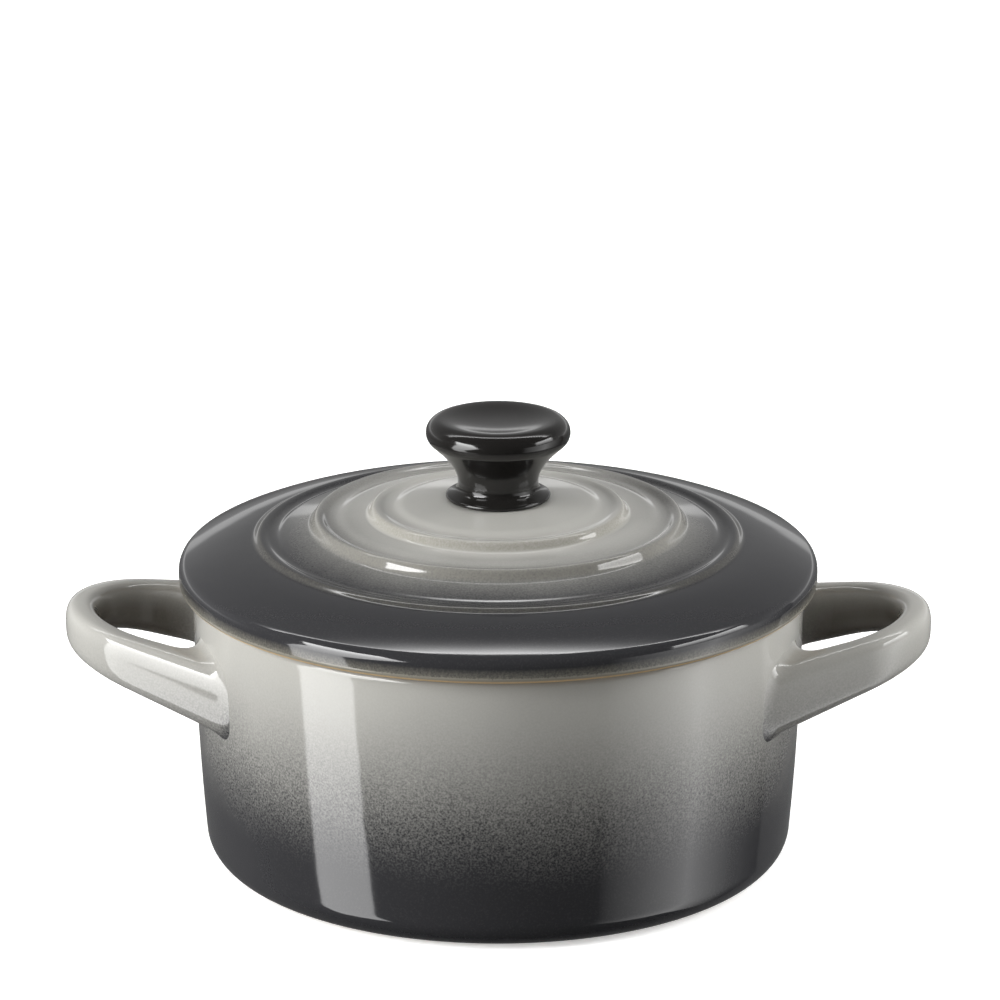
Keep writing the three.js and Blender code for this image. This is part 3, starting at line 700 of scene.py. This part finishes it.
def washer_outline(hole, radius, low, high, soft):
    """A closed ring of rectangular section with its corners rounded."""
    quarter = math.pi / 2
    inside = hole + soft
    outside = radius - soft
    below = low + soft
    above = high - soft
    centres = ((inside, below), (outside, below), (outside, above), (inside, above))
    return joined(*(
        arc(centre, soft, (k - 2) * quarter, (k - 1) * quarter, steps=4) for k, centre in enumerate(centres)
    ))


# Materials

def add(tree, kind, inputs=None, **settings):
    """One node with its settings, each input linked from another node's socket or set to a value."""
    node = tree.nodes.new(kind)
    for name, value in settings.items():
        setattr(node, name, value)
    for name, value in (inputs or {}).items():
        if isinstance(value, bpy.types.NodeSocket):
            tree.links.new(value, node.inputs[name])
        else:
            node.inputs[name].default_value = value
    return node


def new_material(name):
    """A named material with its node tree and its shader."""
    material = bpy.data.materials.new(name)
    material.use_nodes = True
    tree = material.node_tree
    return material, tree, tree.nodes["Principled BSDF"]


def stoneware_glaze(name, finish, along, low, high, fall, speckle):
    """Gloss glaze on stoneware, sprayed from light to dark over the form.

    The eye sees a warm light grey that breaks up in fine pigment grain as it runs into charcoal, paler and
    browner where the glaze draws back from an edge, and tan matt clay where none was put."""
    material, tree, shader = new_material(name)
    place_on = add(tree, "ShaderNodeTexCoord").outputs["Object"]
    axes = add(tree, "ShaderNodeSeparateXYZ", {"Vector": place_on})
    if along == "height":
        way = axes.outputs["Z"]
    else:
        flat = add(tree, "ShaderNodeCombineXYZ", {"X": axes.outputs["X"], "Y": axes.outputs["Y"]})
        way = add(tree, "ShaderNodeVectorMath", {0: flat.outputs["Vector"]}, operation="LENGTH")
        way = way.outputs["Value"]
    grain, cloud, swell = (
        add(
            tree, "ShaderNodeTexNoise", {"Vector": place_on, "Scale": 1 / size, "Detail": detail}
        ).outputs["Fac"]
        for size, detail in ((finish.speckle_size, 1.5), (finish.cloud_size, 2.0), (finish.ripple_size, 1.0))
    )
    drift = finish.cloud_drift
    drifted = add(tree, "ShaderNodeMath", {0: cloud, 1: drift, 2: way}, operation="MULTIPLY_ADD")
    shade = add(
        tree, "ShaderNodeMapRange",
        {"Value": drifted.outputs["Value"], "From Min": low + drift / 2, "From Max": high + drift / 2},
        interpolation_type="SMOOTHSTEP",
    ).outputs["Result"]
    shade = add(tree, "ShaderNodeMath", {0: shade, 1: fall}, operation="POWER").outputs["Value"]
    # Painted shade with pooled glaze: this attribute darkens the handle roots' lower outside corners towards
    # the dark glaze
    pool = add(tree, "ShaderNodeAttribute", attribute_name="pool").outputs["Fac"]
    kept_from_pool_and_shade = add(tree, "ShaderNodeMath", {0: 1.0, 1: pool}, operation="SUBTRACT").outputs["Value"]
    shade = add(tree, "ShaderNodeMath", {0: shade, 1: kept_from_pool_and_shade}, operation="MULTIPLY").outputs["Value"]
    # The grain counts most a third of the way up from dark: its swing is scaled by shade * (1 - shade)^2,
    # which is 4/27 there.
    rest = add(tree, "ShaderNodeMath", {0: 1.0, 1: shade}, operation="SUBTRACT").outputs["Value"]
    squared = add(tree, "ShaderNodeMath", {0: rest, 1: 2.0}, operation="POWER").outputs["Value"]
    mixed = add(tree, "ShaderNodeMath", {0: shade, 1: squared}, operation="MULTIPLY").outputs["Value"]
    swing = add(tree, "ShaderNodeMath", {0: mixed, 1: 27 / 4 * speckle, 2: 0.1}, operation="MULTIPLY_ADD")
    centred = add(tree, "ShaderNodeMath", {0: grain, 1: 0.5}, operation="SUBTRACT").outputs["Value"]
    speckled = add(
        tree, "ShaderNodeMath",
        {0: centred, 1: swing.outputs["Value"], 2: shade}, operation="MULTIPLY_ADD", use_clamp=True,
    ).outputs["Value"]
    thin, loop_inside_shade, inner, bare = (
        add(tree, "ShaderNodeAttribute", attribute_name=tone).outputs["Fac"]
        for tone in ("thin", "loop_inside_shade", "inner", "bare")
    )
    broken = add(
        tree, "ShaderNodeMapRange",
        {"Value": grain, "From Min": 0.25, "From Max": 0.75, "To Min": 0.35, "To Max": 1.0},
    ).outputs["Result"]
    drawn_back = add(
        tree, "ShaderNodeMath", {0: thin, 1: broken}, operation="MULTIPLY", use_clamp=True
    ).outputs["Value"]
    dark_clay = (*(0.7 * channel for channel in finish.bare_clay[:3]), 1)
    clay = add(
        tree, "ShaderNodeMix", {"Factor": grain, 6: finish.bare_clay, 7: dark_clay}, data_type="RGBA"
    ).outputs[2]
    # Each layer covers those before it.
    surface = finish.dark_glaze
    for cover, layer in (
        (speckled, finish.light_glaze),
        (drawn_back, finish.thin_glaze),
        # painted shade: dark brown over the inside of the loops
        (loop_inside_shade, finish.under_glaze),
        (inner, finish.inner_glaze),
        (bare, clay),
    ):
        mix = add(tree, "ShaderNodeMix", {"Factor": cover, 6: surface, 7: layer}, data_type="RGBA")
        surface = mix.outputs[2]
    tree.links.new(surface, shader.inputs["Base Color"])
    gloss = add(tree, "ShaderNodeMapRange", {"Value": bare, "To Min": 0.07, "To Max": 0.8})
    tree.links.new(gloss.outputs["Result"], shader.inputs["Roughness"])
    shader.inputs["IOR"].default_value = 1.5
    ripple = add(tree, "ShaderNodeBump", {"Height": swell, "Strength": 0.5, "Distance": finish.ripple_depth})
    tree.links.new(ripple.outputs["Normal"], shader.inputs["Normal"])
    return material


def polished_phenolic(finish):
    """Moulded black phenolic, buffed: near black with a clear gloss and the faintest haze of handling."""
    material, tree, shader = new_material("polished_black_phenolic")
    place_on = add(tree, "ShaderNodeTexCoord").outputs["Object"]
    haze = add(tree, "ShaderNodeTexNoise", {"Vector": place_on, "Scale": 1 / (4 * MM), "Detail": 3.0})
    gloss = add(
        tree, "ShaderNodeMapRange", {"Value": haze.outputs["Fac"], "To Min": 0.09, "To Max": 0.15}
    )
    tree.links.new(gloss.outputs["Result"], shader.inputs["Roughness"])
    shader.inputs["Base Color"].default_value = finish.knob_black
    shader.inputs["IOR"].default_value = 1.5
    return material


def turned_metal(name, hex_colour, roughness, groove):
    """Metal straight from the lathe: fine rings round the axis, drawn as coarse as they need to show."""
    material, tree, shader = new_material(name)
    place_on = add(tree, "ShaderNodeTexCoord").outputs["Object"]
    rings = add(
        tree, "ShaderNodeTexWave", {"Vector": place_on, "Scale": 1 / groove, "Distortion": 0.6},
        wave_type="RINGS", rings_direction="Z",
    )
    gloss = add(
        tree, "ShaderNodeMapRange",
        {"Value": rings.outputs["Fac"], "To Min": roughness, "To Max": roughness + 0.12},
    )
    tree.links.new(gloss.outputs["Result"], shader.inputs["Roughness"])
    shader.inputs["Base Color"].default_value = linear(hex_colour)
    shader.inputs["Metallic"].default_value = 1.0
    return material


def moulded_silicone():
    """Dark silicone rubber, moulded matt, with a bloom of dust in its skin."""
    material, tree, shader = new_material("moulded_silicone")
    place_on = add(tree, "ShaderNodeTexCoord").outputs["Object"]
    bloom = add(tree, "ShaderNodeTexNoise", {"Vector": place_on, "Scale": 1 / (1.5 * MM), "Detail": 4.0})
    skin_colour = add(
        tree, "ShaderNodeMix",
        {"Factor": bloom.outputs["Fac"], 6: linear("#2c2c2c"), 7: linear("#464543")}, data_type="RGBA",
    )
    tree.links.new(skin_colour.outputs[2], shader.inputs["Base Color"])
    shader.inputs["Roughness"].default_value = 0.65
    return material


# Studio

# The backdrop's glow by the sine of its elevation: a white gap over the table, and grey above and below it
BACKDROP = (
    (-1, 0.1), (-0.08, 0.15), (0.07, 0.4), (0.09, 1), (0.15, 1),
    (0.18, 0.42), (0.35, 0.32), (0.62, 0.2), (1, 0.2),
)
TENT_BLACK = 0.015
AIM = Vector((0, 0, 0.03))

# Cards: the corners' azimuths and elevations in degrees, the glow at the first and third sides, and its power
CARDS = {
    "strip_card": (((77.4, -14), (54.6, -14), (44.7, -40), (69.5, -40)), 5.2, 5.2, 1),
    "key_card": (((77.4, -14), (54.6, -14), (30, 10), (68, 14)), 5.2, 9.0, 1),
    "high_card": (((68, 14), (30, 10), (42, 30), (76, 32)), 9.0, 18.0, 1),
    "high_right_card": (((-62, 12), (-97, 12), (-104, 32), (-68, 32)), 1.0, 9.0, 1),
    "right_card": (((-40, -45), (-40, 10), (-80, 10), (-80, -45)), 0.02, 2.6, 0.8),
    "far_right_card": (((-124, -45), (-124, 10), (-80, 10), (-80, -45)), 0.02, 2.6, 2),
    "top_card": (((120, 28), (-120, 28), (-105, 43), (105, 43)), 0.2, 16.0, 8),
}
# Lamps: azimuth and elevation in degrees, width and height in metres, and power in watts
LAMPS = {
    "key_lamp": (68, 15, 0.5, 0.8, 17.5),
    "top_lamp": (60, 80, 0.9, 0.9, 1.8),
    "right_lamp": (-100, 15, 0.5, 0.8, 14.5),
}


def direction(azimuth, elevation):
    """Unit vector at an azimuth in degrees, from the front round to the left, and an elevation."""
    a = math.radians(azimuth)
    e = math.radians(elevation)
    return Vector((-math.sin(a) * math.cos(e), -math.cos(a) * math.cos(e), math.sin(e)))


def glossy_only(obj):
    """The object shows in reflections alone: it gives no light and casts no shadow."""
    obj.visible_camera = False
    obj.visible_diffuse = False
    obj.visible_transmission = False
    obj.visible_volume_scatter = False
    obj.visible_shadow = False


def glowing(mesh):
    """The empty node tree of a new material on a mesh that gives off light."""
    material = bpy.data.materials.new(mesh.name)
    material.use_nodes = True
    material.node_tree.nodes.clear()
    mesh.materials.append(material)
    return material.node_tree


def reflector_card(name, distance, corners, edge, peak, rise):
    """A four-cornered card whose glow climbs from its first side to its third as a power of the way."""
    mesh = bpy.data.meshes.new(name)
    mesh.from_pydata([AIM + distance * direction(*corner) for corner in corners], [], [(0, 1, 2, 3)])
    mesh.attributes.new("way", "FLOAT", "POINT").data.foreach_set("value", (0, 0, 1, 1))
    tree = glowing(mesh)
    way = add(tree, "ShaderNodeAttribute", attribute_name="way")
    bent = add(tree, "ShaderNodeMath", {0: way.outputs["Fac"], 1: rise}, operation="POWER")
    glow = add(tree, "ShaderNodeMapRange", {"Value": bent.outputs["Value"], "To Min": edge, "To Max": peak})
    light = add(tree, "ShaderNodeEmission", {"Strength": glow.outputs["Result"]})
    add(tree, "ShaderNodeOutputMaterial", {"Surface": light.outputs["Emission"]})
    glossy_only(linked(name, mesh))


def softbox(name, distance, azimuth, elevation, width, height, power):
    """A square-cornered lamp aimed at the object, lighting it without showing in its gloss."""
    lamp = bpy.data.lights.new(name, "AREA")
    lamp.shape = "RECTANGLE"
    lamp.size = width
    lamp.size_y = height
    lamp.energy = power
    box = linked(name, lamp)
    back = direction(azimuth, elevation)
    box.location = AIM + distance * back
    box.rotation_euler = back.to_track_quat("Z", "Y").to_euler()
    box.visible_camera = False
    box.visible_glossy = False


def studio_tent(studio):
    """A dark dome that the glaze mirrors: black in front, and the backdrop behind."""
    rows = np.linspace(-0.499, 0.499, 49) * math.pi
    outline = studio.tent_radius * np.stack([np.cos(rows), np.sin(rows)], axis=1)
    mesh = skin("studio_tent", turned(outline, 64)[::-1])
    tree = glowing(mesh)
    spot = add(tree, "ShaderNodeTexCoord").outputs["Object"]
    aim = add(tree, "ShaderNodeVectorMath", {0: spot}, operation="NORMALIZE").outputs["Vector"]
    axes = add(tree, "ShaderNodeSeparateXYZ", {"Vector": aim})
    behind = add(
        tree, "ShaderNodeMapRange",
        {"Value": axes.outputs["Y"], "From Min": -0.1, "From Max": 0.5}, interpolation_type="SMOOTHSTEP",
    ).outputs["Result"]
    way = add(tree, "ShaderNodeMapRange", {"Value": axes.outputs["Z"], "From Min": -1.0, "From Max": 1.0})
    ramp = add(tree, "ShaderNodeValToRGB", {"Fac": way.outputs["Result"]})
    stops = ramp.color_ramp.elements
    for height, _ in BACKDROP[1:-1]:
        stops.new((1 + height) / 2)
    for stop, (height, level) in zip(stops, BACKDROP):
        stop.position = (1 + height) / 2
        stop.color = (level, level, level, 1)
    wall = add(
        tree, "ShaderNodeMath", {0: behind, 1: ramp.outputs["Color"], 2: TENT_BLACK}, operation="MULTIPLY_ADD"
    )
    light = add(tree, "ShaderNodeEmission", {"Strength": wall.outputs["Value"]})
    add(tree, "ShaderNodeOutputMaterial", {"Surface": light.outputs["Emission"]})
    glossy_only(linked("studio_tent", mesh))


def seen_directly(tree):
    """1 where the camera, a gloss or a clear piece looks at the surface, 0 for the light it scatters."""
    ray = add(tree, "ShaderNodeLightPath").outputs
    seen = ray["Is Camera Ray"]
    for kind in ("Is Glossy Ray", "Is Transmission Ray"):
        seen = add(tree, "ShaderNodeMath", {0: seen, 1: ray[kind]}, operation="MAXIMUM").outputs["Value"]
    return seen


def studio_floor(studio):
    """A round floor that keeps the shadow: white to look at, and grey in the light it throws back."""
    ring = turned(np.array([[studio.floor_radius, -0.02 * MM]]), 96)[0]
    mesh = bpy.data.meshes.new("studio_floor")
    mesh.from_pydata(ring.tolist(), [], [list(range(len(ring)))])
    material, tree, shader = new_material("studio_floor")
    seen = seen_directly(tree)
    paint = add(
        tree, "ShaderNodeMix", {"Factor": seen, 6: studio.floor_bounce, 7: studio.floor}, data_type="RGBA"
    )
    lift = add(tree, "ShaderNodeMath", {0: seen, 1: studio.floor_glow}, operation="MULTIPLY")
    tree.links.new(paint.outputs[2], shader.inputs["Base Color"])
    tree.links.new(lift.outputs["Value"], shader.inputs["Emission Strength"])
    shader.inputs["Emission Color"].default_value = studio.floor
    shader.inputs["Roughness"].default_value = 0.9
    shader.inputs["Specular IOR Level"].default_value = 0.0
    mesh.materials.append(material)
    floor = linked("studio_floor", mesh)
    floor.visible_glossy = False


def studio_world(studio):
    """Soft light all round, and plain white where a camera, a gloss or a clear piece looks out at it."""
    world = bpy.data.worlds.new("studio")
    world.use_nodes = True
    tree = world.node_tree
    tree.nodes.clear()
    strength = add(
        tree, "ShaderNodeMapRange", {"Value": seen_directly(tree), "To Min": studio.ambient, "To Max": 1.0}
    )
    sky = add(tree, "ShaderNodeBackground", {"Strength": strength.outputs["Result"]})
    add(tree, "ShaderNodeOutputWorld", {"Surface": sky.outputs["Background"]})
    bpy.context.scene.world = world


def studio_camera(studio):
    """The camera, aimed at a point on the object's axis from its distance, elevation and azimuth."""
    data = bpy.data.cameras.new("camera")
    data.sensor_width = 36
    data.lens = studio.lens
    camera = linked("camera", data)
    back = direction(-math.degrees(studio.view_azimuth), math.degrees(studio.view_elevation))
    camera.location = Vector((studio.view_side, 0, studio.view_height)) + studio.view_distance * back
    camera.rotation_euler = back.to_track_quat("Z", "Y").to_euler()
    bpy.context.scene.camera = camera


# Operators

class COCOTTE_OT_pot(bpy.types.Operator):
    """Turn the pot's body, with its rim, inside and foot ring"""
    bl_idname = "cocotte.pot"
    bl_label = "Pot body"

    def execute(self, context):
        made = context.scene.cocotte
        outline = pot_outline(made.pot)
        mesh = skin("pot_body", turned(outline), tones=pot_tones(made.pot, outline))
        coat = made.finish
        glaze = stoneware_glaze(
            "ombre_glazed_stoneware", coat, "height",
            coat.pot_dark, coat.pot_light, coat.pot_fall, coat.pot_speckle,
        )
        place(mesh, glaze, "pot", "pot")
        return {"FINISHED"}


class COCOTTE_OT_handles(bpy.types.Operator):
    """Bend both loop handles and press them on to the wall"""
    bl_idname = "cocotte.handles"
    bl_label = "Loop handles"

    def execute(self, context):
        made = context.scene.cocotte
        glaze = bpy.data.materials["ombre_glazed_stoneware"]
        right = handle_grid(made.pot, made.handle)
        tones = handle_tones(made.handle)
        for name, grid in (("handle_right", right), ("handle_left", right * np.array([-1, -1, 1]))):
            place(skin(name, grid, tones=tones), glaze, "pot", "pot")
        return {"FINISHED"}


class COCOTTE_OT_lid(bpy.types.Operator):
    """Turn the ringed lid, with its seat and locating flange"""
    bl_idname = "cocotte.lid"
    bl_label = "Lid"

    def execute(self, context):
        made = context.scene.cocotte
        outline = lid_outline(made.pot, made.lid)
        mesh = skin("lid_body", turned(outline), closed=True, tones=lid_tones(made.pot, made.lid, outline))
        coat = made.finish
        glaze = stoneware_glaze(
            "ringed_lid_glaze", coat, "radius",
            coat.lid_dark, coat.lid_light, coat.lid_fall, coat.lid_speckle,
        )
        place(mesh, glaze, "lid", "lid")
        return {"FINISHED"}


class COCOTTE_OT_knob(bpy.types.Operator):
    """Turn the knob with its dished top"""
    bl_idname = "cocotte.knob"
    bl_label = "Knob"

    def execute(self, context):
        made = context.scene.cocotte
        mesh = skin("knob_turning", turned(knob_outline(made.knob)))
        place(mesh, polished_phenolic(made.finish), "lid", "knob")
        return {"FINISHED"}


class COCOTTE_OT_fastening(bpy.types.Operator):
    """Make the screw and its washers, and finish the brass bush"""
    bl_idname = "cocotte.fastening"
    bl_label = "Fastening"

    def execute(self, context):
        size = context.scene.cocotte.fastening
        stainless = turned_metal("turned_stainless", "#bcbdbf", 0.24, 0.3 * MM)
        screw = screw_grid(size, SCREW_LOW.z + size.head_tall, SCREW_HIGH.z)
        place(skin("pan_head_screw", screw), stainless, "lid", "knob_screw")
        for name, low, high, material, slot, node in (
            ("steel_washer", WASHER_LOW, WASHER_HIGH, stainless, "screw_steel", "screw_washer"),
            ("soft_washer", SEAL_LOW, SEAL_HIGH, moulded_silicone(), "seal_silicone", "seal_washer"),
        ):
            ring = washer_outline(size.washer_hole, high.x, low.z, high.z, size.washer_round)
            place(skin(name, turned(ring, FASTENER_TURNS), closed=True), material, "lid", node)
        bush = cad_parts["knob_insert"]
        bush.data.materials.clear()
        bush.data.materials.append(turned_metal("turned_brass", "#b3904c", 0.28, 0.25 * MM))
        return {"FINISHED"}


class COCOTTE_OT_stage(bpy.types.Operator):
    """Set the floor, the tent and its cards, the lamps and the camera"""
    bl_idname = "cocotte.stage"
    bl_label = "Stage"

    def execute(self, context):
        studio = context.scene.cocotte.studio
        context.scene.view_settings.view_transform = "Standard"
        studio_floor(studio)
        studio_world(studio)
        studio_tent(studio)
        for name, card in CARDS.items():
            reflector_card(name, studio.card_distance, *card)
        for name, lamp in LAMPS.items():
            softbox(name, studio.card_distance, *lamp)
        studio_camera(studio)
        return {"FINISHED"}


class COCOTTE_PT_panel(bpy.types.Panel):
    """The sizes and finishes of the cocotte, and the steps that build it"""
    bl_idname = "COCOTTE_PT_panel"
    bl_label = "Mini cocotte"
    bl_space_type = "VIEW_3D"
    bl_region_type = "UI"
    bl_category = "Cocotte"

    def draw(self, context):
        for step in STEPS:
            self.layout.operator(step.bl_idname)
        for group in context.scene.cocotte.bl_rna.properties:
            if group.type != "POINTER" or group.identifier == "rna_type":
                continue
            box = self.layout.box()
            box.label(text=group.identifier.capitalize())
            settings = getattr(context.scene.cocotte, group.identifier)
            for name in settings.__annotations__:
                box.prop(settings, name)


STEPS = (
    COCOTTE_OT_pot,
    COCOTTE_OT_handles,
    COCOTTE_OT_lid,
    COCOTTE_OT_knob,
    COCOTTE_OT_fastening,
    COCOTTE_OT_stage,
)
CLASSES = (
    PotSizes,
    HandleSizes,
    LidSizes,
    KnobSizes,
    FasteningSizes,
    Finishes,
    StudioSettings,
    CocotteSettings,
    *STEPS,
    COCOTTE_PT_panel,
)


def register():
    for item in CLASSES:
        bpy.utils.register_class(item)
    bpy.types.Scene.cocotte = PointerProperty(type=CocotteSettings)


def unregister():
    del bpy.types.Scene.cocotte
    for item in reversed(CLASSES):
        bpy.utils.unregister_class(item)


def main():
    register()
    bpy.ops.cocotte.pot()
    bpy.ops.cocotte.handles()
    bpy.ops.cocotte.lid()
    bpy.ops.cocotte.knob()
    bpy.ops.cocotte.fastening()
    bpy.ops.cocotte.stage()


if __name__ == "__main__":
    main()
